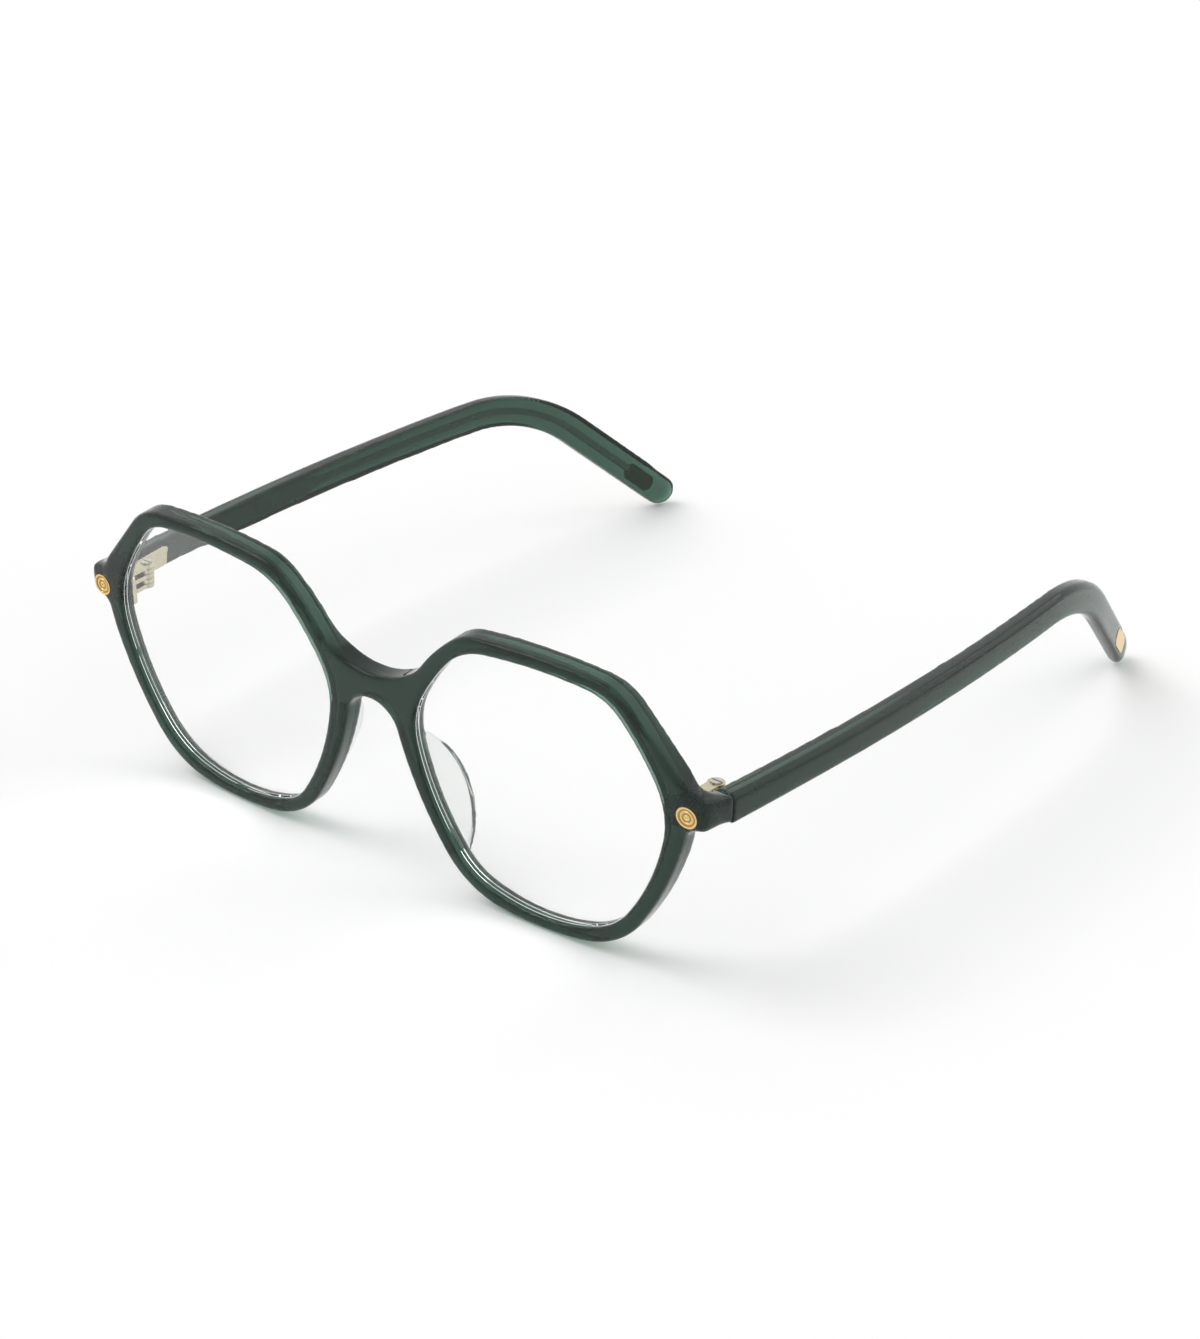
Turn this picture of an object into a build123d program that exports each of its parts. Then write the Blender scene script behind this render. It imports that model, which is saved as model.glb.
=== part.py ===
from build123d import *
import math
import os

# Hexagonal eyeglasses, standing on a table on their rims and temple tips.
# The wearer looks along -Y, so the wearer's left is +X. Millimetres and degrees.
# The front is drawn upright, its face at Y = 0 and the lowest point of its rims near Z = 0.
# Each temple is drawn along +Y from its seam with the end piece.
# Everything is drawn for the +X side and mirrored.

# Lens opening, corners from the top nasal one round by the temple side
opening_width = 48.6
opening_height = 46.9
opening_from_middle = 9.2
opening_from_ground = 2.0
opening_x_shares = [-0.2753, 0.2938, 0.5099, 0.2780, -0.2994, -0.5095]
opening_z_shares = [0.4687, 0.4802, 0.1166, -0.4299, -0.4286, 0.1241]
opening_bulge_shares = [0.0433, 0.0558, 0.0792, 0.1186, 0.0744, 0.0508]
opening_radius_shares = [0.2603, 0.1821, 0.3237, 0.3177, 0.2276, 0.2807]
opening_mid_x = opening_from_middle + opening_width / 2
opening_mid_z = opening_from_ground + opening_height / 2

# Rim outline round the opening, corners from the top nasal one round to the low nasal one
rim_extra_width = 8.4
rim_extra_height = 1.9
rim_shift_x = 0.35
rim_shift_z = 0.55
rim_x_shares = [-0.2395, 0.2898, 0.2479, -0.2800]
rim_z_shares = [0.4986, 0.4932, -0.4918, -0.4883]
rim_bulge_shares = [0.0487, 0.0351, 0, 0, 0, 0, 0.0608, 0.0718, 0.0548]
rim_radius_shares = [0.1593, 0.1663, 0.2853, 0.2782]
front_thickness = 4.15
base_curve_radius = 816.0
front_edge_bevel = 0.42
opening_edge_bevel = 0.28
rim_width = opening_width + rim_extra_width
rim_height = opening_height + rim_extra_height
rim_mid_x = opening_mid_x + rim_shift_x
rim_mid_z = opening_mid_z + rim_shift_z

# Bridge, its height above the opening's middle and its width beside the gap between the openings
bridge_top_rise = 11.15
bridge_top_radius = 15.5
bridge_top_spread = 1.2
bridge_top_blend = 10.0
bridge_arch_rise = 6.35
bridge_arch_radius = 5.5
bridge_arch_inset = 4.05
bridge_arch_blend = 5.0
bridge_top_z = opening_mid_z + bridge_top_rise
bridge_top_half_width = opening_from_middle + bridge_top_spread
bridge_arch_z = opening_mid_z + bridge_arch_rise
bridge_arch_half_width = opening_from_middle - bridge_arch_inset

# End piece, at the face and at its seam with the temple, insets measured from its outer side
temple_seam_rise = 4.6
end_overhang = 2.95
end_flare = 0.8
end_top_rise = 8.95
end_face_height = 6.05
end_seam_top_rise = 3.2
end_seam_bottom_drop = 2.2
end_face_depth = 2.6
end_root_inset = 2.77
end_top_root_angle = 38.8
end_low_root_inset = 3.55
end_low_root_angle = 13.0
end_return_inset = 3.35
end_return_depth = 6.5
end_return_top_rise = 3.8
end_return_bottom_drop = 2.0
end_seam_depth = 9.2
end_top_blend = 5.0
end_bottom_blend = 2.4
end_corner_reach = 1.0
temple_seam_z = rim_mid_z + temple_seam_rise
end_half_width = rim_mid_x + rim_width / 2 + end_overhang
end_top_z = rim_mid_z + end_top_rise
end_bottom_z = end_top_z - end_face_height
end_seam_top_z = temple_seam_z + end_seam_top_rise
end_seam_bottom_z = temple_seam_z - end_seam_bottom_drop
end_root_x = end_half_width - end_root_inset
end_low_root_x = end_half_width - end_low_root_inset
end_return_x = end_half_width - end_return_inset
end_return_top_z = temple_seam_z + end_return_top_rise
end_return_bottom_z = temple_seam_z - end_return_bottom_drop

# Temple, its thickness tapering to the tip
pantoscopic_angle = 6.5
temple_inner_inset = 2.94
temple_front_height = 5.05
temple_flare_angle = 0.22
temple_thickness = 3.72
temple_bow_at = 47.0
temple_bow_swing = 1.99
temple_bow_thickness = 3.34
temple_ear_at = 88.0
temple_ear_swing = 0.51
temple_ear_thickness = 3.0
temple_toe_radius = 161.0
temple_toe_angle = 12.1
temple_straight_length = 92.1
temple_bend_radius = 39.3
temple_bend_angle = 40.2
temple_tail_length = 27.1
temple_outer_bevel = 0.8
seam_gap = 0.1
temple_inner_x = end_half_width - temple_inner_inset
temple_bow_x = temple_inner_x + temple_bow_swing
temple_ear_x = temple_inner_x + temple_ear_swing

# Hinge, five barrels on one screw
hinge_pin_inset = 4.9
hinge_pin_x = end_half_width - hinge_pin_inset
hinge_pin_depth = 2.95
hinge_mid_z = -0.3
hinge_height = 4.3
hinge_barrel_radius = 1.45
hinge_barrel_count = 5
hinge_barrel_gap = 0.08
hinge_web_width = 2.2
front_leaf_width = 4.3
front_leaf_height = 5.3
front_leaf_thickness = 0.9
front_leaf_inset = 0.6
front_arm_reach = 3.2
front_leaf_rise = 0.3
temple_leaf_start = 1.3
temple_leaf_length = 9.5
temple_leaf_height = 3.8
temple_leaf_thickness = 0.75
temple_leaf_angle = 4.3
leaf_corner_radius = 0.6
pin_radius = 0.6
pin_clearance = 0.04
screw_head_radius = 1.0
screw_head_height = 0.5
screw_head_sink = 0.25
screw_slot_width = 0.32
screw_slot_depth = 0.25

# Lens
lens_thickness = 1.9
lens_surface_radius = 500.0
lens_depth = 1.95
lens_edge_sag = 0.6
lens_bevel_depth = 0.65
lens_bevel_half_width = 0.7
lens_clearance = 0.04
lens_bevel_root = 0.1

# Nose pad, its ends above and below the opening's middle
pad_top_rise = 2.55
pad_bottom_drop = 18.85
pad_depth = 5.3
pad_reach_inset = 13.5
pad_rim_inset = 0.55
pad_splay_angle = 20.0
pad_top_z = opening_mid_z + pad_top_rise
pad_bottom_z = opening_mid_z - pad_bottom_drop
pad_reach_x = opening_mid_x - pad_reach_inset

# Rivet
rivet_inset = 3.1
rivet_rise = 5.55
rivet_x = end_half_width - rivet_inset
rivet_z = rim_mid_z + rivet_rise
rivet_radius = 1.9
rivet_height = 0.75
rivet_proud = 0.12
rivet_rim_width = 0.3
rivet_dish_depth = 0.12
rivet_boss_radius = 0.8
rivet_boss_height = 0.08
rivet_peg_radius = 0.7
rivet_peg_length = 2.2

# Core wire
core_start = 0.2
core_plate_length = 46.5
core_point_length = 4.5
core_plate_height = 4.0
core_wire_height = 1.2
core_thickness = 0.9
core_tail_length = 16.8

# Tip plate
plate_length = 8.0
plate_width = 3.3
plate_corner = 0.9
plate_thickness = 0.5
plate_proud = 0.05
plate_along_tail = 21.2

# Working sizes: a cut's overrun, a blank's reach and the closeness of a match
overrun = 1.0
reach = 12.0
closeness = 0.01
solver_rounds = 30
lean_rounds = 4
mostly = 0.9


def up_from(side, point):
    """How far a point lies outside an outline's side, and the way out."""
    radius, middle, outward = side
    if radius == 0:
        return (point - middle).dot(outward), outward
    away = point - middle
    sign = 1 if radius > 0 else -1
    return sign * away.length - radius, away.normalized() * sign


def make_side(start, end, share):
    """An outline's side as a circle or, where it doesn't bulge, a line."""
    run = end - start
    outward = Vector(-run.Y, run.X).normalized()
    if share == 0:
        return 0, start, outward
    bulge = share * run.length
    radius = (run.length ** 2 / 4 + bulge ** 2) / (2 * bulge)
    return radius, (start + end) / 2 + outward * (bulge - radius), outward


def make_corner(before, after, corner, radius, grow):
    """The arc that rounds a corner: where it starts, its middle and where it ends."""
    way_in, way_out = up_from(before, corner)[1], up_from(after, corner)[1]
    if radius == 0:
        spot = corner + (way_in + way_out).normalized() * grow
        return spot, spot, spot
    convex = way_in.X * way_out.Y - way_in.Y * way_out.X < 0
    depth = -radius if convex else radius
    middle = corner + (way_in + way_out).normalized() * depth
    for _ in range(solver_rounds):
        (miss_in, way_in), (miss_out, way_out) = up_from(before, middle), up_from(after, middle)
        miss_in, miss_out = depth - miss_in, depth - miss_out
        spin = way_in.X * way_out.Y - way_in.Y * way_out.X
        step_x = (miss_in * way_out.Y - miss_out * way_in.Y) / spin
        step_y = (miss_out * way_in.X - miss_in * way_out.X) / spin
        middle = middle + Vector(step_x, step_y)
    size = grow - depth
    halfway = (way_in + way_out).normalized()
    return middle + way_in * size, middle + halfway * size, middle + way_out * size


def outline(points, bulge_shares, radii, grow=0):
    """A closed clockwise outline with bulged sides and rounded corners, grown all round."""
    corners = [Vector(*point) for point in points]
    count = len(corners)
    sides = [make_side(corners[i], corners[(i + 1) % count], bulge_shares[i]) for i in range(count)]
    joints = [make_corner(sides[i - 1], sides[i], corners[i], radii[i], grow) for i in range(count)]
    edges = []
    for i in range(count):
        radius, middle, _ = sides[i]
        start, end = joints[i][2], joints[(i + 1) % count][0]
        if radii[i] > 0:
            edges.append(ThreePointArc(*joints[i]))
        if radius == 0:
            edges.append(Line(start, end))
        else:
            way = (start + end) / 2 - middle
            edges.append(ThreePointArc(start, middle + way.normalized() * (abs(radius) + grow), end))
    return make_face(edges)


def opening(grow):
    """The lens opening about its own middle, grown all round."""
    points = [(opening_width * x, opening_height * z) for x, z in zip(opening_x_shares, opening_z_shares)]
    radii = [opening_width * share for share in opening_radius_shares]
    return outline(points, opening_bulge_shares, radii, grow)


def along(start, end, share):
    """A value part of the way from one to another."""
    return start + (end - start) * share


def end_corners(depth):
    """The +X end piece's corners in elevation at a depth, from its top root round to its bottom root."""
    share = (depth - end_face_depth) / (end_seam_depth - end_face_depth)
    top_z, bottom_z = along(end_top_z, end_seam_top_z, share), along(end_bottom_z, end_seam_bottom_z, share)
    outer_x = end_half_width + end_flare * share
    top_root_x = end_root_x - (top_z - end_top_z) * math.tan(math.radians(end_top_root_angle))
    bottom_root_x = end_low_root_x + (bottom_z - end_bottom_z) * math.tan(math.radians(end_low_root_angle))
    return [(top_root_x, top_z), (outer_x, top_z), (outer_x, bottom_z), (bottom_root_x, bottom_z)]


def front_outline(depth, grow=0):
    """Both rims, the bridge and the end pieces in elevation at a depth behind the face."""
    top_rise = bridge_top_radius - math.sqrt(bridge_top_radius ** 2 - bridge_top_half_width ** 2)
    arch_drop = bridge_arch_radius - math.sqrt(bridge_arch_radius ** 2 - bridge_arch_half_width ** 2)
    half = [(bridge_top_half_width, bridge_top_z + top_rise)]
    rim = []
    for share_x, share_z in zip(rim_x_shares, rim_z_shares):
        rim.append((rim_mid_x + rim_width * share_x, rim_mid_z + rim_height * share_z))
    half += rim[:2] + end_corners(depth) + rim[2:]
    half.append((bridge_arch_half_width, bridge_arch_z - arch_drop))
    other_half = [(-x, z) for x, z in reversed(half)]
    arch_share = -arch_drop / (2 * bridge_arch_half_width)
    top_share = -top_rise / (2 * bridge_top_half_width)
    shares = rim_bulge_shares + [arch_share] + rim_bulge_shares[::-1] + [top_share]
    radii = [rim_width * share for share in rim_radius_shares]
    ends = [end_top_blend, 0, 0, end_bottom_blend]
    radii = [bridge_top_blend] + radii[:2] + ends + radii[2:] + [bridge_arch_blend]
    return outline(half + other_half, shares, radii + radii[::-1], grow)


def elevation(depth):
    """The plane of the front's elevation at a depth behind its face."""
    return Plane(origin=(0, depth, 0), x_dir=(1, 0, 0), z_dir=(0, -1, 0))


def face_depth(x):
    """Depth of the curved face at a distance from the middle."""
    return base_curve_radius - math.sqrt(base_curve_radius ** 2 - x ** 2)


def face_place(x, z, sink=0):
    """A spot on the curved face, its Z pointing out of it and its Y up."""
    angle = math.degrees(math.asin(x / base_curve_radius))
    way = Vector(x / base_curve_radius, -math.cos(math.radians(angle)), 0)
    spot = Vector(x, face_depth(x), z) - way * sink
    return Plane(origin=spot, x_dir=(math.cos(math.radians(angle)), x / base_curve_radius, 0), z_dir=way)


def block(low, high):
    """A box between two corners."""
    size = [b - a for a, b in zip(low, high)]
    spot = [(a + b) / 2 for a, b in zip(low, high)]
    return Pos(*spot) * Box(*size)


def on_curve(edge, radius):
    """Whether an edge lies at a distance from the base curve's axis."""
    spots = [edge @ 0, edge @ 0.5, edge @ 1]
    return all(abs(math.hypot(p.X, p.Y - base_curve_radius) - radius) < closeness for p in spots)


def both_sides(shape):
    """A shape and its mirror image in one."""
    return shape + mirror(shape, about=Plane.YZ)


def upright(face, low, high):
    """A plan face raised between two heights."""
    return Pos(0, 0, low) * extrude(face, high - low, dir=(0, 0, 1))


def plan_prism():
    """The front seen from above: a curved sheet with a return at each end."""
    back_radius = base_curve_radius - front_thickness
    wide = end_half_width + reach
    face_angle, back_angle = math.asin(wide / base_curve_radius), math.asin(end_return_x / back_radius)
    face_end = (wide, base_curve_radius * (1 - math.cos(face_angle)))
    back_end = (end_return_x, base_curve_radius - back_radius * math.cos(back_angle))
    edges = [ThreePointArc((-face_end[0], face_end[1]), (0, 0), face_end)]
    edges.append(ThreePointArc((-back_end[0], back_end[1]), (0, front_thickness), back_end))
    for sign in (1, -1):
        corners = [face_end, (wide, reach), (end_return_x, reach), back_end]
        spots = [(sign * x, y) for x, y in corners]
        edges += [Line(a, b) for a, b in zip(spots, spots[1:])]
    return upright(make_face(edges), -reach, rim_height + reach)


def return_cutter():
    """What lies above and below the +X return, behind the curved sheet."""
    back_radius = base_curve_radius - front_thickness
    low_x, high_x = end_return_x - overrun, end_half_width + reach
    arc = []
    for x in (low_x, (low_x + high_x) / 2, high_x):
        arc.append((x, base_curve_radius - math.sqrt(back_radius ** 2 - x ** 2)))
    edges = [ThreePointArc(*arc), Line(arc[2], (high_x, 2 * reach))]
    edges += [Line((high_x, 2 * reach), (low_x, 2 * reach)), Line((low_x, 2 * reach), arc[0])]
    behind = upright(make_face(edges), -reach, rim_height + reach)
    seam_top, seam_low = temple_seam_z + temple_front_height / 2, temple_seam_z - temple_front_height / 2
    corners = []
    for start_z, end_z, depths in (
        (end_return_top_z, seam_top, (-reach, 2 * reach)),
        (end_return_bottom_z, seam_low, (2 * reach, -reach)),
    ):
        slope = (end_z - start_z) / (end_seam_depth - end_return_depth)
        corners += [(depth, start_z + slope * (depth - end_return_depth)) for depth in depths]
    side = Plane(origin=(low_x - overrun, 0, 0), x_dir=(0, 1, 0), z_dir=(1, 0, 0))
    kept = extrude(side * make_face(Polyline(*corners, close=True)), 2 * reach, dir=(1, 0, 0))
    return behind - kept


temple_place = Location((0, end_seam_depth, temple_seam_z), (-pantoscopic_angle, 0, 0))


def front_blank():
    """The front before its openings and pockets are cut."""
    depths = (-overrun, end_seam_depth + overrun)
    body = loft([elevation(depth) * front_outline(depth) for depth in depths], ruled=True)
    body = (body & plan_prism()) - both_sides(return_cutter())
    wide = end_half_width + reach
    behind_seam = block((-wide, -seam_gap / 2, -reach), (wide, 2 * reach, reach))
    return (body - temple_place * behind_seam).solids()[0]


lens_place = face_place(opening_mid_x, opening_mid_z, lens_depth)


def wedge_ring(grow, half_width, root, root_half_width):
    """A disc whose edge runs to a point, from two ruled halves."""
    plane_up, plane_down = Plane.XY.offset(root_half_width), Plane.XY.offset(-root_half_width)
    upper = loft([opening(grow), plane_up * opening(root)], ruled=True)
    lower = loft([plane_down * opening(root), opening(grow)], ruled=True)
    return upper + lower


def lens_solid():
    """A lens with a curved front and back and a bevelled edge, about its own middle."""
    slope = lens_bevel_half_width / lens_bevel_depth
    root_half_width = lens_bevel_half_width + lens_bevel_root * slope
    root = -lens_clearance - lens_bevel_root
    bevel = wedge_ring(lens_bevel_depth - lens_clearance, lens_bevel_half_width, root, root_half_width)
    blank = extrude(Plane.XY.offset(-reach) * opening(-lens_clearance), 2 * reach, dir=(0, 0, 1))
    top_z = lens_thickness / 2 + lens_edge_sag
    front_ball = Pos(0, 0, top_z - lens_surface_radius) * Rot(90, 0, 0) * Sphere(lens_surface_radius)
    back_ball = Pos(0, 0, -lens_thickness) * front_ball
    return ((blank & front_ball) - back_ball + bevel).solids()[0]


def groove_cutter():
    """The V-groove that holds the lens, about the lens's middle."""
    slope = lens_bevel_half_width / lens_bevel_depth
    root_half_width = lens_bevel_half_width + 2 * lens_bevel_root * slope
    return wedge_ring(lens_bevel_depth, lens_bevel_half_width, -2 * lens_bevel_root, root_half_width)


def opening_cutter():
    """The straight part of the lens opening, about the lens's middle."""
    return extrude(Plane.XY.offset(-reach) * opening(0), 2 * reach, dir=(0, 0, 1))


def is_opening_edge(edge, rim):
    """Whether an edge is where an opening meets the front's face or back."""
    back_radius = base_curve_radius - front_thickness
    if not (on_curve(edge, base_curve_radius) or on_curve(edge, back_radius)):
        return False
    for spot in (edge @ 0, edge @ 0.5, edge @ 1):
        flat = lens_place.to_local_coords(Vector(abs(spot.X), spot.Y, spot.Z))
        if rim.distance_to(Vertex(flat.X, flat.Y, 0)) > closeness:
            return False
    return True


def front_solid():
    """The front with its face edges bevelled, its lens openings cut and their edges bevelled."""
    body = front_blank()
    edges = [edge for edge in body.edges() if on_curve(edge, base_curve_radius)]
    for edge in body.edges():
        spot, way = edge @ 0.5, edge % 0.5
        at_end = abs(spot.X) > end_half_width - end_corner_reach and spot.Y > end_face_depth
        if at_end and abs(way.Y) > mostly:
            edges.append(edge)
    body = chamfer(edges, front_edge_bevel)
    body = (body - both_sides(lens_place * opening_cutter())).solids()[0]
    rim = opening(0).wires()[0]
    edges = [edge for edge in body.edges() if is_opening_edge(edge, rim)]
    body = chamfer(edges, opening_edge_bevel)
    return (body - both_sides(lens_place * groove_cutter())).solids()[0]


def nose_pad():
    """A crescent on the back of the nasal side of the +X rim, splayed away from the nose."""
    outer = front_outline(0, -pad_rim_inset)
    inner = Pos(opening_mid_x, opening_mid_z) * opening(pad_rim_inset)
    window = Rectangle(pad_reach_x, pad_top_z - pad_bottom_z)
    window = Pos(pad_reach_x / 2, (pad_top_z + pad_bottom_z) / 2) * window
    band = (outer - inner) & window
    splay = math.radians(pad_splay_angle)
    root = front_thickness - overrun
    way = Vector(math.sin(splay), math.cos(splay), 0)
    sheet = extrude(elevation(root) * band, 2 * pad_depth, dir=way)
    sheet = Pos(-overrun * math.tan(splay), 0, 0) * sheet
    low, top = (root, pad_bottom_z), (root, pad_top_z)
    peak = (front_thickness + pad_depth, (pad_top_z + pad_bottom_z) / 2)
    side = Plane(origin=(-reach, 0, 0), x_dir=(0, 1, 0), z_dir=(1, 0, 0))
    moon = make_face([ThreePointArc(low, peak, top), Line(top, low)])
    moon = extrude(side * moon, 4 * reach, dir=(1, 0, 0))
    back = Pos(0, base_curve_radius, -reach) * Cylinder(base_curve_radius - front_thickness, 4 * rim_height)
    return ((sheet & moon) & back).solids().sort_by(SortBy.VOLUME)[-1]


def rivet_profile():
    """Half of the rivet's section: disc with a raised rim, a dish and a boss, on a peg."""
    low, top = -(rivet_height - rivet_proud), rivet_proud
    dish_x, dish_z = rivet_radius - rivet_rim_width, rivet_proud - rivet_dish_depth
    spots = [(0, low - rivet_peg_length), (rivet_peg_radius, low - rivet_peg_length), (rivet_peg_radius, low)]
    spots += [(rivet_radius, low), (rivet_radius, top), (dish_x, top), (dish_x, dish_z)]
    spots += [(rivet_boss_radius, dish_z), (0, dish_z + rivet_boss_height)]
    return make_face(Polyline(*spots, close=True))


def rivet():
    """The turned rivet in the +X end piece."""
    spun = revolve(Plane.XZ * rivet_profile(), Axis.Z)
    return face_place(rivet_x, rivet_z) * spun


def barrel_levels(first):
    """Bottom heights and the height of every other barrel, from the given one."""
    height = (hinge_height - (hinge_barrel_count - 1) * hinge_barrel_gap) / hinge_barrel_count
    low = hinge_mid_z - hinge_height / 2
    return [low + i * (height + hinge_barrel_gap) for i in range(first, hinge_barrel_count, 2)], height


def barrels(first, web_low, web_high):
    """Barrels about the pin with a web each, in the temple's own place."""
    levels, height = barrel_levels(first)
    out = None
    for level in levels:
        tube = Pos(0, 0, level + height / 2) * Cylinder(hinge_barrel_radius, height)
        web = block((web_low[0], web_low[1], level), (web_high[0], web_high[1], level + height))
        piece = tube + web
        out = piece if out is None else out + piece
    return out


pin_place = Pos(hinge_pin_x, hinge_pin_depth, 0)


def pin_bore(radius, low, high):
    """A bore about the pin between two heights."""
    return Pos(0, 0, (low + high) / 2) * Cylinder(radius, high - low)


def front_hinge():
    """The hinge half sunk in the back of the +X end piece: a plate, three arms and three barrels."""
    half_web = hinge_web_width / 2
    low, top = hinge_mid_z - hinge_height / 2, hinge_mid_z + hinge_height / 2
    bottom_level = barrel_levels(0)[1]
    shape = barrels(0, (-half_web, -hinge_pin_depth - front_arm_reach), (half_web, 0))
    shape = shape - pin_bore(pin_radius + pin_clearance, low + bottom_level, top + overrun)
    shape = shape - pin_bore(pin_radius, low - overrun, low + bottom_level)
    shape = shape - pin_bore(screw_head_radius + pin_clearance, top - screw_head_sink, top + overrun)
    arms = temple_place * (pin_place * shape)
    plate_x = end_return_x - front_leaf_inset - front_leaf_width / 2
    back_y = base_curve_radius - math.sqrt((base_curve_radius - front_thickness) ** 2 - plate_x ** 2)
    plate_z = temple_seam_z + hinge_mid_z + front_leaf_rise
    plate = Box(front_leaf_width, front_leaf_thickness, front_leaf_height)
    plate = fillet(plate.edges().filter_by(Axis.Y), leaf_corner_radius)
    return (arms + Pos(plate_x, back_y - front_leaf_thickness / 2, plate_z) * plate).solids()[0]


def temple_hinge():
    """The hinge half sunk in the temple: a plate and two barrels, in the temple's own place."""
    half_web = hinge_web_width / 2
    low, top = hinge_mid_z - hinge_height / 2, hinge_mid_z + hinge_height / 2
    reach_x = temple_inner_x - hinge_pin_x + temple_leaf_thickness
    shape = barrels(1, (0, -half_web), (reach_x, half_web))
    shape = shape - pin_bore(pin_radius + pin_clearance, low, top)
    plate = Box(temple_leaf_thickness, temple_leaf_length, temple_leaf_height)
    plate = fillet(plate.edges().filter_by(Axis.X), leaf_corner_radius)
    plate = Pos(temple_leaf_thickness / 2, temple_leaf_length / 2, 0) * plate
    plate = Pos(temple_inner_x, temple_leaf_start, hinge_mid_z) * Rot(0, 0, -temple_leaf_angle) * plate
    return (pin_place * shape + plate).solids()[0]


def hinge_screw():
    """The screw that is the hinge pin, in the temple's own place."""
    low, top = hinge_mid_z - hinge_height / 2, hinge_mid_z + hinge_height / 2
    head_low = top - screw_head_sink
    head = Pos(0, 0, head_low + screw_head_height / 2) * Cylinder(screw_head_radius, screw_head_height)
    slot_z = head_low + screw_head_height - screw_slot_depth
    slot = block((-reach, -screw_slot_width / 2, slot_z), (reach, screw_slot_width / 2, slot_z + reach))
    return (pin_place * (pin_bore(pin_radius, low, head_low + closeness) + head - slot)).solids()[0]


def temple_lines(inner):
    """A plan line of the temple: a slight bow, a turn inwards behind the ear and a straight tail."""
    shift = 0 if inner else 1
    start = (temple_inner_x + shift * temple_thickness, seam_gap / 2)
    bow = (temple_bow_x + shift * temple_bow_thickness, temple_bow_at)
    ear = (temple_ear_x + shift * temple_ear_thickness, temple_ear_at)
    first = ThreePointArc(start, bow, ear)
    turn = JernArc(first @ 1, first % 1, temple_toe_radius + shift * temple_ear_thickness, temple_toe_angle)
    tail = Line(turn @ 1, (turn @ 1) + (turn % 1) * (temple_bend_radius + temple_tail_length))
    return [first, turn, tail]


def temple_plan():
    """The temple seen from above."""
    inner, outer = temple_lines(True), temple_lines(False)
    ends = [Line(inner[0] @ 0, outer[0] @ 0), Line(inner[2] @ 1, outer[2] @ 1)]
    return upright(make_face(inner + outer + ends), -2 * reach - temple_bend_radius, reach)


def strip(half_height, flare, tail_length, start):
    """The temple's side view or its core's: straight, bent down behind the ear, a round end if it flares."""
    rise = math.tan(math.radians(flare)) * (temple_straight_length - start)
    edges, ends = [], []
    for sign in (1, -1):
        corner = (temple_straight_length, sign * (half_height + rise))
        first = Line((start, sign * half_height), corner)
        size = temple_bend_radius + sign * (half_height + rise)
        turn = JernArc(corner, first % 1, size, -(temple_bend_angle + sign * flare))
        tail = Line(turn @ 1, (turn @ 1) + (turn % 1) * tail_length)
        edges += [first, turn, tail]
        ends.append(tail @ 1)
    edges.append(Line((start, half_height), (start, -half_height)))
    return edges, ends


def side_prism(edges):
    """A side view made solid across the temple."""
    side = Plane(origin=(temple_inner_x / 2, 0, 0), x_dir=(0, 1, 0), z_dir=(1, 0, 0))
    return extrude(side * make_face(edges), temple_inner_x, dir=(1, 0, 0))


def temple_blank():
    """The +X temple in its own place before its pockets are cut, with its outer long edges bevelled."""
    edges, (top, low) = strip(temple_front_height / 2, temple_flare_angle, temple_tail_length, 0)
    way = (edges[2] % 1).normalized()
    across = Vector(-way.Y, way.X)
    low_end = top - across * (top - low).dot(across)
    middle = (top + low_end) / 2 + way * (top - low_end).length / 2
    edges[5] = Line(edges[5] @ 0, low_end)
    edges.append(ThreePointArc(top, middle, low_end))
    body = (side_prism(edges) & temple_plan()).solids()[0]
    long_edges = []
    for face in body.faces():
        if face.normal_at().X > mostly:
            long_edges += [edge for edge in face.edges() if abs((edge % 0.5).Z) < mostly]
    return chamfer(long_edges, temple_outer_bevel)


def core_wire():
    """The metal core of the +X temple: a flat plate that narrows to a wire, following the temple."""
    half_plate, half_wire = core_plate_height / 2, core_wire_height / 2
    edges, (top, low) = strip(half_wire, 0, core_tail_length, core_start)
    edges.append(Line(top, low))
    side = side_prism(edges)
    shoulder, point = core_start + core_plate_length, core_start + core_plate_length + core_point_length
    spots = [(core_start, half_plate), (shoulder, half_plate), (point, half_wire), (point, -half_wire)]
    spots += [(shoulder, -half_plate), (core_start, -half_plate)]
    plane = Plane(origin=(temple_inner_x / 2, 0, 0), x_dir=(0, 1, 0), z_dir=(1, 0, 0))
    side = side + extrude(plane * make_face(Polyline(*spots, close=True)), temple_inner_x, dir=(1, 0, 0))
    inner, outer = temple_lines(True), temple_lines(False)
    lines = []
    for shift in (-core_thickness / 2, core_thickness / 2):
        start = temple_inner_x + temple_thickness / 2 + shift
        bow = temple_bow_x + temple_bow_thickness / 2 + shift
        ear = temple_ear_x + temple_ear_thickness / 2 + shift
        first = ThreePointArc((start, 0), (bow, temple_bow_at), (ear, temple_ear_at))
        size = temple_toe_radius + temple_ear_thickness / 2 + shift
        turn = JernArc(first @ 1, first % 1, size, temple_toe_angle)
        tail = Line(turn @ 1, (turn @ 1) + (turn % 1) * (temple_bend_radius + temple_tail_length))
        lines.append([first, turn, tail])
    ends = [Line(lines[0][0] @ 0, lines[1][0] @ 0), Line(lines[0][2] @ 1, lines[1][2] @ 1)]
    plan = upright(make_face(lines[0] + lines[1] + ends), -2 * reach - temple_bend_radius, reach)
    return (side & plan).solids().sort_by(SortBy.VOLUME)[-1]


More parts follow.
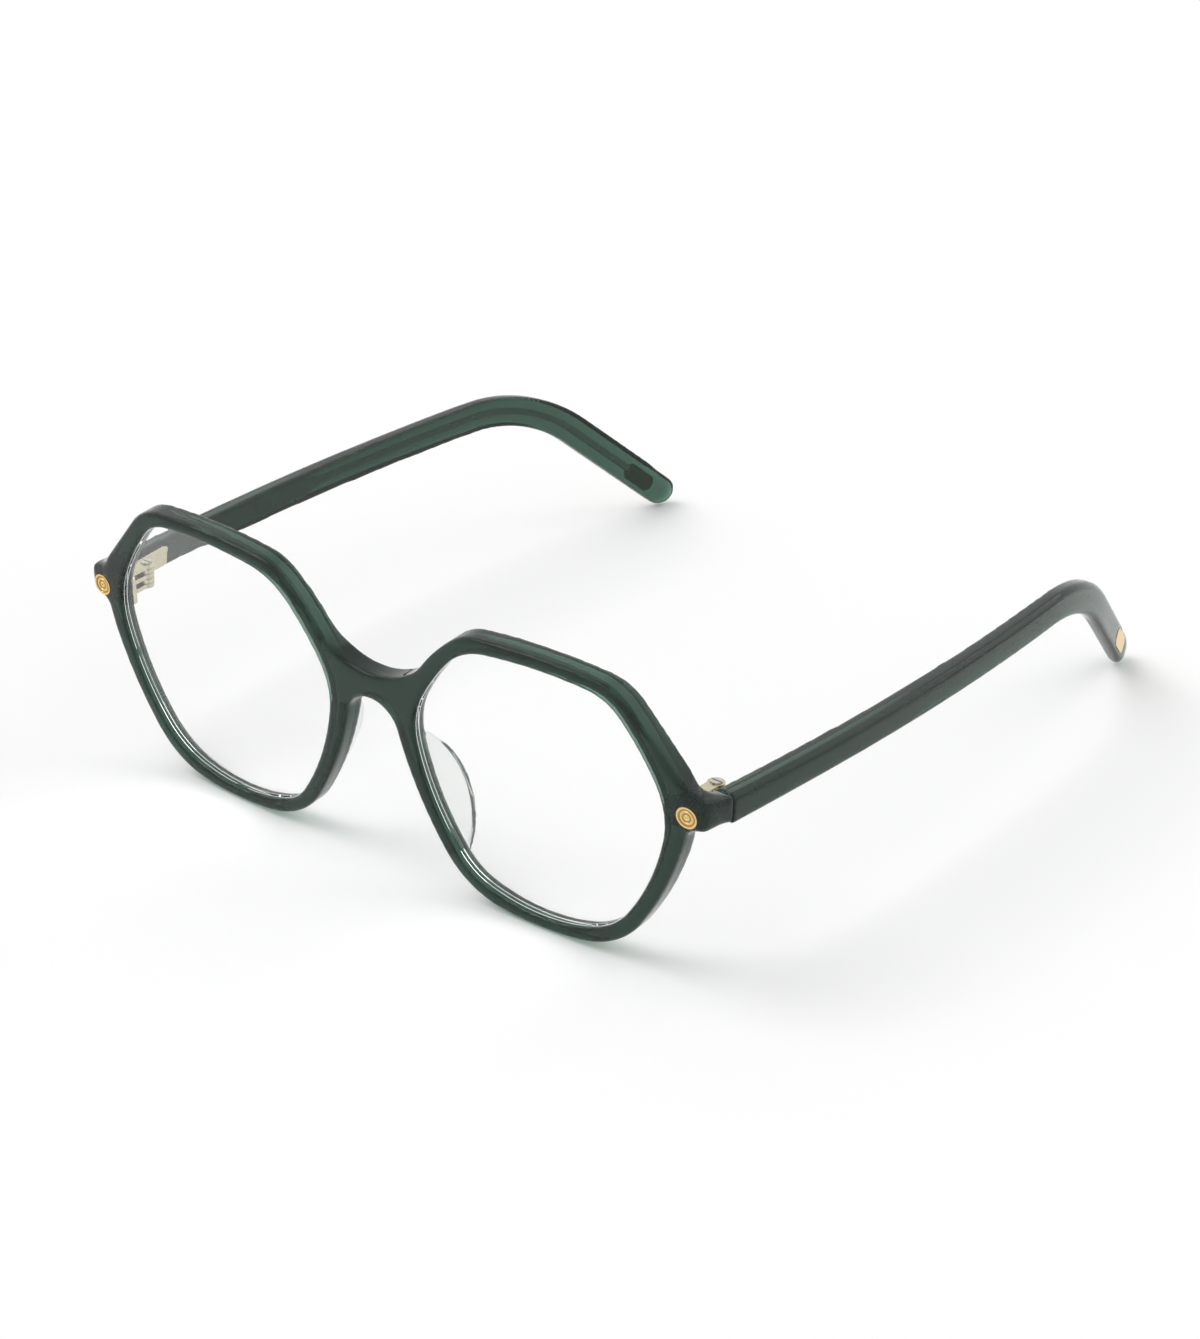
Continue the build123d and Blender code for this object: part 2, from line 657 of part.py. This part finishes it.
def tip_plate():
    """The inlay in the outer face of the +X temple's tail, its corners cut off."""
    edges = strip(closeness, 0, plate_along_tail, 0)[0]
    spot = edges[2] @ 1
    way = edges[2] % 1
    outer_tail = temple_lines(False)[2]
    run = outer_tail % 0
    x = (outer_tail @ 0).X + (spot.X - (outer_tail @ 0).Y) * run.X / run.Y
    along_tail = Vector(way.X * run.X / run.Y, way.X, way.Y).normalized()
    outward = Vector(run.Y, -run.X, 0)
    place = Plane(origin=(x, spot.X, spot.Y), x_dir=along_tail, z_dir=outward)
    plate = chamfer(Rectangle(plate_length, plate_width).vertices(), plate_corner)
    return place * Pos(0, 0, -plate_thickness) * extrude(plate, plate_thickness + plate_proud)


def turned(shape, angle):
    """A shape tipped back about the X axis."""
    return shape.rotate(Axis.X, angle)


os.makedirs("parts", exist_ok=True)

front_hinge_left = front_hinge()
rivet_left = rivet()
front_frame = front_solid() - both_sides(front_hinge_left) - both_sides(rivet_left)
lens_left = lens_place * lens_solid()

temple_hinge_own, screw_own = temple_hinge(), hinge_screw()
core_own, plate_own = core_wire(), tip_plate()
temple_own = temple_blank() - temple_hinge_own - core_own - plate_own

solids = {"front_frame": front_frame.solids()[0]}
one_side = {
    "lens": lens_left,
    "nose_pad": nose_pad(),
    "rivet": rivet_left,
    "hinge_front": front_hinge_left,
    "hinge_screw": temple_place * screw_own,
    "hinge_temple": temple_place * temple_hinge_own,
    "temple": temple_place * temple_own.solids()[0],
    "core_wire": temple_place * core_own,
    "tip_plate": temple_place * plate_own,
}
for name, shape in one_side.items():
    solids[name + "_left"] = shape
    solids[name + "_right"] = mirror(shape, about=Plane.YZ)

# Tip everything back until the rims and the temple tips stand on the same level
lean = 0
for _ in range(lean_rounds):
    rim, tip = turned(front_frame, lean).bounding_box(), turned(solids["temple_left"], lean).bounding_box()
    lean += math.degrees(math.atan2(rim.min.Z - tip.min.Z, tip.max.Y - rim.max.Y))
solids = {name: turned(shape, lean) for name, shape in solids.items()}
boxes = [shape.bounding_box() for shape in solids.values()]
low_z = min(box.min.Z for box in boxes)
mid_y = (min(box.min.Y for box in boxes) + max(box.max.Y for box in boxes)) / 2
for name, shape in solids.items():
    export_step(Pos(0, -mid_y, -low_z) * shape, "parts/" + name + ".step")

pin = Vector(hinge_pin_x, hinge_pin_depth, hinge_mid_z)
pin = (temple_place * Pos(pin)).position.rotate(Axis.X, lean) - Vector(0, mid_y, low_z)
print("lean", round(lean, 4), "shift", round(-mid_y, 4), round(-low_z, 4))
print("pin", [round(value, 4) for value in pin], "axis tilt", round(lean - pantoscopic_angle, 4))
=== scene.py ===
import math

import bmesh
import bpy
import numpy as np
from mathutils import Matrix, Vector


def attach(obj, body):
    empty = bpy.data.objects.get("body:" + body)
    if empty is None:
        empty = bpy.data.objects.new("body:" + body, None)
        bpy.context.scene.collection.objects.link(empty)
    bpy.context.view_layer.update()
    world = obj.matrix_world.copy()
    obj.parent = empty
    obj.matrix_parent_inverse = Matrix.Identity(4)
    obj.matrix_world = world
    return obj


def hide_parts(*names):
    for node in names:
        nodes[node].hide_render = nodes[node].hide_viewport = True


# Hexagonal translucent eyeglasses on a pale floor, in metres, in the frame of the solids.

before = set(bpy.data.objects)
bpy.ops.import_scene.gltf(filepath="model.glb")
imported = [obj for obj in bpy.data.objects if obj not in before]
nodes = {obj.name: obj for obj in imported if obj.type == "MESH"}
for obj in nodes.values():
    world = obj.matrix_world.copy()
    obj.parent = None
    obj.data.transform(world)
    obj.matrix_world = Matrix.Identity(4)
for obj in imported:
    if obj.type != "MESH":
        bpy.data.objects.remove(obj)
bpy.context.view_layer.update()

# Camera: where it stands, its back and right before the roll, the roll and the lens
camera_place = Vector((0.35842, -0.47883, 0.31159))
camera_back = Vector((0.54446, -0.70643, 0.45228))
camera_right = Vector((0.78530, 0.61875, 0.02110))
camera_roll = math.radians(0.201)
camera_lens = 101.83
sensor_width = 36.0

# Light: a soft surround, its strength where it is seen, and two wide soft suns, about one unit on the floor
white = (1, 1, 1, 1)
world_strength = 0.6
seen_strength = 1.0
key_place = Vector((-0.5, -0.35, 0.9))
key_strength = 1.3
key_spread = math.radians(40)
back_place = Vector((0.45, 0.8, 0.7))
back_strength = 0.6
back_spread = math.radians(50)

# Floor: its size, its gap under the object, and pale paper that is slightly darker in cloudy patches
floor_width = 6.0
floor_gap = 0.0002
floor_grey = 0.95
floor_shade = 0.99
floor_roughness = 0.9
floor_scale = 6.0
floor_detail = 2.0
floor_limits = (0.3, 0.7)

# Clear plastics: linear colours, densities per metre, and how strong the polishing ripple is
acetate_tint = (0.15, 0.30, 0.23, 1)
acetate_density = 1080.0
acetate_ior = 1.45
acetate_roughness = 0.03
acetate_ripple = 0.04
acetate_body = (0.62, 0.85, 0.75, 1)
acetate_clearness = 0.965
acetate_gloss = (0.25, 0.27, 0.26, 1)
lens_tint = (0.97, 0.985, 0.975, 1)
lens_density = 12.0
lens_ior = 1.5
lens_roughness = 0.01
lens_ripple = 0.01
pad_tint = (0.72, 0.76, 0.73, 1)
pad_density = 260.0
pad_ior = 1.49
pad_roughness = 0.06
pad_ripple = 0.05

# What clear plastics share: marks, whose spread is in shares of the roughness, and the ripple's noise
mark_scale = 900.0
mark_detail = 3.0
mark_limits = (0.35, 0.75)
mark_spread = (0.6, 1.8)
ripple_scale = 140.0
ripple_detail = 2.0
ripple_height = 0.0001

# Metals: linear colour, roughness, and how fine and how strong the grain is
gold_finish = ((0.86, 0.62, 0.27, 1), 0.2, 3000.0, 0.15)
hinge_finish = ((0.62, 0.57, 0.42, 1), 0.26, 2500.0, 0.2)
screw_finish = ((0.62, 0.60, 0.55, 1), 0.22, 2500.0, 0.2)
core_finish = ((0.30, 0.31, 0.29, 1), 0.34, 1800.0, 0.3)

# What metals share: darker clouds, which also spread the polish, and the grain's noise
cloud_scale = 700.0
cloud_detail = 4.0
cloud_shade = 0.82
polish_limits = (0.3, 0.7)
polish_spread = (0.75, 1.35)
grain_detail = 5.0
grain_roughness = 0.65
grain_height = 0.00002

# Meshes of the solids: points nearer than this are one, and edges sharper than this stay crisp
weld_distance = 0.000002
crisp_angle = math.radians(30)

# Remade plastics: the grid, how many rounds soften all of it, and how many more its rounder ends
acetate_grid = 0.00022
pad_grid = 0.00018
soften_rounds = 12
pad_rounds = 10
end_rounds = 110
tip_rounds = 70
soften_step = 0.5

# Where the rounder ends begin and are full: end pieces outwards and forwards, temples backwards
end_zone = (0.0600, 0.0632)
end_zone_front = (0.0652, 0.0668)
tip_zone = (0.0690, 0.0725)

# Filled pockets: how far a plug passes their walls, how deep metal stays bare, and where leaves are buried
plug_overlap = 0.0001
bare_depth = 0.0004
leaf_depth = 0.00105
leaf_inner_x = 0.06237

# Rivet: which way its face looks, the turned rings in its dish, and the shade painted into the grooves
# between the rings
face_lean = math.radians(5.87)
rivet_turn = math.radians(4.37)
rivet_dish = 0.00012
ring_radii = (0.00105, 0.00035)
ring_thickness = 0.00014
ring_steps = 48
ring_section_steps = 10
ring_gap = 0.0007
ring_outermost = 0.00175
ring_slope = (-0.9, 0.1)
# Painted shade: the dark colour put into the grooves between the rivet's rings
ring_groove_painted_shade = (0.30, 0.19, 0.07, 1)


def new_material(name):
    """An empty node material and its node tree."""
    material = bpy.data.materials.new(name)
    material.use_nodes = True
    tree = material.node_tree
    tree.nodes.clear()
    return material, tree


def add(tree, kind, **values):
    """A node with its inputs or settings set by name."""
    node = tree.nodes.new(kind)
    for name, value in values.items():
        if name in node.inputs:
            node.inputs[name].default_value = value
        else:
            setattr(node, name, value)
    return node


def surface(tree, **values):
    """The Principled shader joined to the output."""
    shader = tree.nodes.new("ShaderNodeBsdfPrincipled")
    for name, value in values.items():
        shader.inputs[name.replace("_", " ")].default_value = value
    output = tree.nodes.new("ShaderNodeOutputMaterial")
    tree.links.new(shader.outputs["BSDF"], output.inputs["Surface"])
    return shader, output


def spots(tree):
    """The object's own coordinates."""
    return tree.nodes.new("ShaderNodeTexCoord").outputs["Object"]


def noise(tree, scale, detail, roughness=0.5):
    """Noise over the object's own coordinates."""
    node = add(tree, "ShaderNodeTexNoise", Scale=scale, Detail=detail, Roughness=roughness)
    tree.links.new(spots(tree), node.inputs["Vector"])
    return node.outputs["Fac"]


def ramp(tree, source, limits, results):
    """A grey value between two limits turned into one between two results."""
    node = add(tree, "ShaderNodeMapRange")
    for end, limit, result in zip(("Min", "Max"), limits, results):
        node.inputs["From " + end].default_value = limit
        node.inputs["To " + end].default_value = result
    tree.links.new(source, node.inputs["Value"])
    return node.outputs["Result"]


def worked(tree, source, operation, *constants):
    """A grey value put through one step of arithmetic."""
    node = add(tree, "ShaderNodeMath", operation=operation)
    tree.links.new(source, node.inputs[0])
    for socket, constant in zip(node.inputs[1:], constants):
        socket.default_value = constant
    return node.outputs["Value"]


def uneven(tree, shader, source, limits, roughness, spread):
    """Makes a shader's roughness follow a grey value, between two shares of it."""
    polish = ramp(tree, source, limits, (roughness * spread[0], roughness * spread[1]))
    tree.links.new(polish, shader.inputs["Roughness"])


def bumpy(tree, shader, source, strength, height):
    """Makes a grey value raise a shader's surface."""
    node = add(tree, "ShaderNodeBump", Strength=strength, Distance=height)
    tree.links.new(source, node.inputs["Height"])
    tree.links.new(node.outputs["Normal"], shader.inputs["Normal"])


def coloured(tree, shader, share, low):
    """Mixes a shader's colour by a grey value, from a low one to that of the socket it gives back."""
    mix = add(tree, "ShaderNodeMix", data_type="RGBA")
    mix.inputs["A"].default_value = low
    tree.links.new(share, mix.inputs["Factor"])
    tree.links.new(mix.outputs["Result"], shader.inputs["Base Color"])
    return mix.inputs["B"]


def clear_plastic(name, tint, density, ior, roughness, ripple, body=white, clearness=1.0, gloss=white):
    """A see-through plastic that darkens with depth, with marks, ripple and a little body colour."""
    material, tree = new_material(name)
    shader, output = surface(tree, Base_Color=body, IOR=ior, Transmission_Weight=clearness,
                             Specular_Tint=gloss)
    uneven(tree, shader, noise(tree, mark_scale, mark_detail), mark_limits, roughness, mark_spread)
    bumpy(tree, shader, noise(tree, ripple_scale, ripple_detail), ripple, ripple_height)
    path = tree.nodes.new("ShaderNodeLightPath")
    clear = add(tree, "ShaderNodeBsdfTransparent", Color=white)
    both = tree.nodes.new("ShaderNodeMixShader")
    tree.links.new(path.outputs["Is Shadow Ray"], both.inputs["Fac"])
    tree.links.new(shader.outputs["BSDF"], both.inputs[1])
    tree.links.new(clear.outputs["BSDF"], both.inputs[2])
    tree.links.new(both.outputs["Shader"], output.inputs["Surface"])
    absorb = add(tree, "ShaderNodeVolumeAbsorption", Color=tint, Density=density)
    tree.links.new(absorb.outputs["Volume"], output.inputs["Volume"])
    return material


def metal(name, colour, roughness, grain_scale, grain_strength):
    """A metal with fine grain and slightly uneven polish."""
    material, tree = new_material(name)
    shader, _ = surface(tree, Metallic=1.0)
    cloud = noise(tree, cloud_scale, cloud_detail)
    darker = [value * cloud_shade for value in colour[:3]] + [1]
    coloured(tree, shader, cloud, darker).default_value = colour
    uneven(tree, shader, cloud, polish_limits, roughness, polish_spread)
    grain = noise(tree, grain_scale, grain_detail, grain_roughness)
    bumpy(tree, shader, grain, grain_strength, grain_height)
    return material


def painted_groove_shade(material, centre):
    """Paints shade into a metal's colour in the grooves between the turned rings about a centre, the same
    on the left and the right.
    """
    tree = material.node_tree
    shader = tree.nodes["Principled BSDF"]
    plain = shader.inputs["Base Color"].links[0].from_socket
    mirrored = add(tree, "ShaderNodeVectorMath", operation="ABSOLUTE")
    tree.links.new(spots(tree), mirrored.inputs[0])
    away = add(tree, "ShaderNodeVectorMath", operation="DISTANCE")
    away.inputs[1].default_value = [abs(c) for c in centre]
    tree.links.new(mirrored.outputs["Vector"], away.inputs[0])
    held = worked(tree, away.outputs["Value"], "MINIMUM", ring_outermost)
    turn = worked(tree, held, "MULTIPLY_ADD", 2 * math.pi / ring_gap,
                  -2 * math.pi * ring_radii[-1] / ring_gap)
    # Painted shade: between the rings the metal turns to the dark groove colour
    height = ramp(tree, worked(tree, turn, "COSINE"), ring_slope, (0.0, 1.0))
    tree.links.new(plain, coloured(tree, shader, height, ring_groove_painted_shade))
    return material


def paper(name):
    """A matt pale floor that keeps a shadow."""
    material, tree = new_material(name)
    shader, _ = surface(tree, Roughness=floor_roughness)
    cloud = noise(tree, floor_scale, floor_detail)
    tint = ramp(tree, cloud, floor_limits, (floor_grey * floor_shade, floor_grey))
    tree.links.new(tint, shader.inputs["Base Color"])
    return material


def placed(name, data):
    """A new object in the scene."""
    made = bpy.data.objects.new(name, data)
    bpy.context.scene.collection.objects.link(made)
    return made


def pair(name):
    """A left and right name."""
    return [name + "_left", name + "_right"]


def side_of(name):
    """1 for a left piece, -1 for a right one."""
    return 1 if name.endswith("_left") else -1


def rows(parts, value, width, kind):
    """A value of each of a mesh's parts, a row for each."""
    flat = np.zeros(len(parts) * width, kind)
    parts.foreach_get(value, flat)
    return flat.reshape(-1, width)


def places(name):
    """A node's points at rest."""
    return rows(nodes[name].data.vertices, "co", 3, float)


def share_of(value, low, high):
    """How far a value is from low to high, eased, from 0 to 1."""
    share = np.clip((value - low) / (high - low), 0, 1)
    return share * share * (3 - 2 * share)


def shells(size, edges):
    """The shell that each point is on, given as the lowest number of the points joined to it."""
    label = np.arange(size)
    while True:
        before = label.copy()
        lowest = np.minimum(label[edges[:, 0]], label[edges[:, 1]])
        np.minimum.at(label, edges[:, 0], lowest)
        np.minimum.at(label, edges[:, 1], lowest)
        label = label[label]
        if (label == before).all():
            return label


def keep_widest(solid):
    """Leaves only a mesh's widest shell, so that nothing is left inside it."""
    solid.verts.index_update()
    edges = np.array([[v.index for v in edge.verts] for edge in solid.edges])
    reach = np.array([v.co.y for v in solid.verts])
    label = shells(len(reach), edges)
    widest = max(np.unique(label), key=lambda one: np.ptp(reach[label == one]))
    inside = [v for v, one in zip(solid.verts, label) if one != widest]
    bmesh.ops.delete(solid, geom=inside, context="VERTS")


def outer_shell(name):
    """A node's welded mesh without its inner hollows."""
    shell = bmesh.new()
    shell.from_mesh(nodes[name].data)
    bmesh.ops.remove_doubles(shell, verts=shell.verts, dist=weld_distance)
    keep_widest(shell)
    return shell


def plug(shell, points, inward):
    """Fills a pocket, below what stays bare, with the hull of what sits in it, slightly past its walls."""
    points = points + np.array(inward)
    middle = (points.min(0) + points.max(0)) / 2
    half = (points.max(0) - points.min(0)) / 2
    made = [shell.verts.new(middle + (point - middle) * (half + plug_overlap) / half) for point in points]
    hull = bmesh.ops.convex_hull(shell, input=made)
    spare = [v for v in hull["geom_interior"] + hull["geom_unused"] if isinstance(v, bmesh.types.BMVert)]
    bmesh.ops.delete(shell, geom=list(set(spare)), context="VERTS")


def remade(name, plugs, grid):
    """A node's mesh with its pockets filled, made again on a fine even grid."""
    shell = outer_shell(name)
    for points, inward in plugs:
        plug(shell, points, inward)
    rough = bpy.data.meshes.new(name + "_rough")
    shell.to_mesh(rough)
    shell.free()
    maker = placed(name + "_maker", rough)
    remesh = maker.modifiers.new("even_grid", "REMESH")
    remesh.mode = "VOXEL"
    remesh.voxel_size = grid
    even = bpy.data.meshes.new_from_object(maker.evaluated_get(bpy.context.evaluated_depsgraph_get()))
    bpy.data.objects.remove(maker)
    return even


def softened(points, edges, rounds, weight):
    """Points moved towards their neighbours, as polishing rounds a sheet's edges."""
    first, second = edges[:, 0], edges[:, 1]
    size = len(points)
    count = np.maximum(np.bincount(edges.ravel(), minlength=size), 1)[:, None]
    for _ in range(rounds):
        around = np.empty_like(points)
        for axis in range(3):
            value = points[:, axis]
            around[:, axis] = np.bincount(first, value[second], size)
            around[:, axis] += np.bincount(second, value[first], size)
        points = points + soften_step * weight[:, None] * (around / count - points)
    return points


def polished(name, body, material, grid, rounds, plugs=(), zone=None, zone_rounds=0):
    """A solid remade and softened, more so in its zone, riding in the node's place."""
    even = remade(name, plugs, grid)
    points = rows(even.vertices, "co", 3, float)
    edges = rows(even.edges, "vertices", 2, np.int32)
    if zone is not None:
        points = softened(points, edges, zone_rounds, zone(points))
    points = softened(points, edges, rounds, np.ones(len(points)))
    even.vertices.foreach_set("co", points.astype(np.float32).ravel())
    even.shade_smooth()
    even.materials.append(material)
    piece = placed(name + "_polished", even)
    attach(piece, body)
    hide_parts(name)


def smooth_group():
    """A modifier's node group that shades every face smooth and leaves each point where it is."""
    group = bpy.data.node_groups.new("smooth_faces", "GeometryNodeTree")
    group.interface.new_socket("Geometry", in_out="INPUT", socket_type="NodeSocketGeometry")
    group.interface.new_socket("Geometry", in_out="OUTPUT", socket_type="NodeSocketGeometry")
    start = group.nodes.new("NodeGroupInput")
    smooth = group.nodes.new("GeometryNodeSetShadeSmooth")
    end = group.nodes.new("NodeGroupOutput")
    group.links.new(start.outputs["Geometry"], smooth.inputs["Geometry"])
    group.links.new(smooth.outputs["Geometry"], end.inputs["Geometry"])
    return group


def dress(names, material):
    """Gives solids their material and smooth faces with crisp edges, by slots and modifiers alone."""
    for name in names:
        piece = nodes[name]
        for slot in piece.material_slots:
            slot.link = "OBJECT"
            slot.material = material
        weld = piece.modifiers.new("weld", "WELD")
        weld.merge_threshold = weld_distance
        smooth = piece.modifiers.new("smooth_faces", "NODES")
        smooth.node_group = smooth_faces
        split = piece.modifiers.new("crisp_edges", "EDGE_SPLIT")
        split.split_angle = crisp_angle


def end_share(points):
    """How far points are into the outer front corners of the end pieces."""
    return share_of(np.abs(points[:, 0]), *end_zone) * share_of(-points[:, 1], *end_zone_front)


def tip_share(points):
    """How far points are into the last millimetres of a temple."""
    return share_of(points[:, 1], *tip_zone)


def buried_leaf(name):
    """The points of a temple's hinge leaf that are in the temple."""
    points = places(name)
    return points[points[:, 0] * side_of(name) > leaf_inner_x]


def buried_plate(name):
    """The points of the front's hinge leaf that are in the front."""
    points = places(name)
    return points[points[:, 1] < points[:, 1].min() + leaf_depth]


def rivet_face(name):
    """The middle of a rivet's dish and the ways out of it, across it and up it."""
    out = Vector((side_of(name) * math.sin(rivet_turn), -math.cos(rivet_turn) * math.cos(face_lean),
                  -math.cos(rivet_turn) * math.sin(face_lean)))
    across = out.cross(Vector((0, 0, 1))).normalized()
    rise = across.cross(out)
    points = places(name)
    middle = Vector((0, 0, 0))
    for way in (across, rise):
        reach = points @ np.array(way)
        middle += way * float(reach.max() + reach.min()) / 2
    middle += out * (float((points @ np.array(out)).max()) - rivet_dish)
    return middle, out, across, rise


def rivet_rings(name, material):
    """The turned rings in a rivet's dish."""
    middle, out, across, rise = rivet_face(name)
    mesh = bpy.data.meshes.new(name + "_rings")
    made = bmesh.new()
    for radius in ring_radii:
        loops = []
        for i in range(ring_steps):
            turn = 2 * math.pi * i / ring_steps
            way = across * math.cos(turn) + rise * math.sin(turn)
            loop = []
            for k in range(ring_section_steps):
                bend = 2 * math.pi * k / ring_section_steps
                offset = way * math.cos(bend) + out * math.sin(bend)
                loop.append(made.verts.new(middle + way * radius + offset * ring_thickness))
            loops.append(loop)
        for i in range(ring_steps):
            here, there = loops[i], loops[(i + 1) % ring_steps]
            for k in range(ring_section_steps):
                after = (k + 1) % ring_section_steps
                made.faces.new((here[k], there[k], there[after], here[after]))
    bmesh.ops.recalc_face_normals(made, faces=made.faces)
    made.to_mesh(mesh)
    made.free()
    mesh.shade_smooth()
    mesh.materials.append(material)
    rings = placed(name + "_rings", mesh)
    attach(rings, "front")


def make_floor():
    """The pale floor just under the object."""
    half = floor_width / 2
    corners = [(-half, -half, 0), (half, -half, 0), (half, half, 0), (-half, half, 0)]
    mesh = bpy.data.meshes.new("floor")
    mesh.from_pydata(corners, [], [(0, 1, 2, 3)])
    mesh.materials.append(paper("floor_paper"))
    floor = placed("floor", mesh)
    floor.location.z = -floor_gap


def make_world():
    """A plain soft studio surround, white where it is seen, reflected or looked through to."""
    world = bpy.data.worlds.new("studio")
    bpy.context.scene.world = world
    world.use_nodes = True
    tree = world.node_tree
    tree.nodes.clear()
    glow = add(tree, "ShaderNodeBackground", Color=white, Strength=world_strength)
    bright = add(tree, "ShaderNodeBackground", Color=white, Strength=seen_strength)
    path = tree.nodes.new("ShaderNodeLightPath")
    seen = path.outputs["Is Camera Ray"]
    for kind in ("Is Glossy Ray", "Is Transmission Ray"):
        either = add(tree, "ShaderNodeMath", operation="MAXIMUM")
        tree.links.new(seen, either.inputs[0])
        tree.links.new(path.outputs[kind], either.inputs[1])
        seen = either.outputs["Value"]
    both = tree.nodes.new("ShaderNodeMixShader")
    tree.links.new(seen, both.inputs["Fac"])
    tree.links.new(glow.outputs["Background"], both.inputs[1])
    tree.links.new(bright.outputs["Background"], both.inputs[2])
    output = tree.nodes.new("ShaderNodeOutputWorld")
    tree.links.new(both.outputs["Shader"], output.inputs["Surface"])


def make_sun(name, place, strength, spread):
    """A wide soft lamp from a direction."""
    data = bpy.data.lights.new(name, "SUN")
    data.energy = strength
    data.angle = spread
    lamp = placed(name, data)
    lamp.location = place
    lamp.rotation_euler = (-place).to_track_quat("-Z", "Y").to_euler()


def make_camera():
    """The camera at the photograph's viewing angle."""
    data = bpy.data.cameras.new("camera")
    data.lens = camera_lens
    data.sensor_width = sensor_width
    data.sensor_fit = "AUTO"
    back = camera_back.normalized()
    right = (camera_right - back * camera_right.dot(back)).normalized()
    up = back.cross(right)
    turned_right = right * math.cos(camera_roll) + up * math.sin(camera_roll)
    turned_up = up * math.cos(camera_roll) - right * math.sin(camera_roll)
    stance = Matrix((turned_right, turned_up, back)).transposed().to_4x4()
    camera = placed("camera", data)
    camera.matrix_world = Matrix.Translation(camera_place) @ stance
    bpy.context.scene.camera = camera


smooth_faces = smooth_group()
acetate = clear_plastic("acetate", acetate_tint, acetate_density, acetate_ior, acetate_roughness,
                        acetate_ripple, acetate_body, acetate_clearness, acetate_gloss)
lens_glass = clear_plastic("lens_glass", lens_tint, lens_density, lens_ior, lens_roughness, lens_ripple)
pad_plastic = clear_plastic("pad_plastic", pad_tint, pad_density, pad_ior, pad_roughness, pad_ripple)
gold = metal("gold", *gold_finish)
# Gold with shade painted into the grooves between the rivet's rings
painted_groove_shade_gold = painted_groove_shade(metal("painted_groove_shade_gold", *gold_finish), rivet_face("rivet_left")[0])
hinge_metal = metal("hinge_metal", *hinge_finish)
screw_metal = metal("screw_metal", *screw_finish)
core_metal = metal("core_metal", *core_finish)

front_plugs = [(places(name), (0, bare_depth, 0)) for name in pair("rivet")]
front_plugs += [(buried_plate(name), (0, -bare_depth, 0)) for name in pair("hinge_front")]
polished("front_frame", "front", acetate, acetate_grid, soften_rounds,
         front_plugs, end_share, end_rounds)
for name, leaf, tip in zip(pair("temple"), pair("hinge_temple"), pair("tip_plate")):
    outward = side_of(name) * bare_depth
    temple_plugs = [(buried_leaf(leaf), (outward, 0, 0)), (places(tip), (-outward, 0, 0))]
    polished(name, name, acetate, acetate_grid, soften_rounds,
             temple_plugs, tip_share, tip_rounds)
for name in pair("nose_pad"):
    polished(name, "front", pad_plastic, pad_grid, pad_rounds)
dress(pair("lens"), lens_glass)
dress(pair("rivet"), painted_groove_shade_gold)
dress(pair("tip_plate"), gold)
dress(pair("hinge_front") + pair("hinge_temple"), hinge_metal)
dress(pair("hinge_screw"), screw_metal)
dress(pair("core_wire"), core_metal)
for name in pair("rivet"):
    rivet_rings(name, painted_groove_shade_gold)

make_floor()
make_world()
make_sun("key", key_place, key_strength, key_spread)
make_sun("back_light", back_place, back_strength, back_spread)
make_camera()
bpy.context.scene.view_settings.view_transform = "Standard"
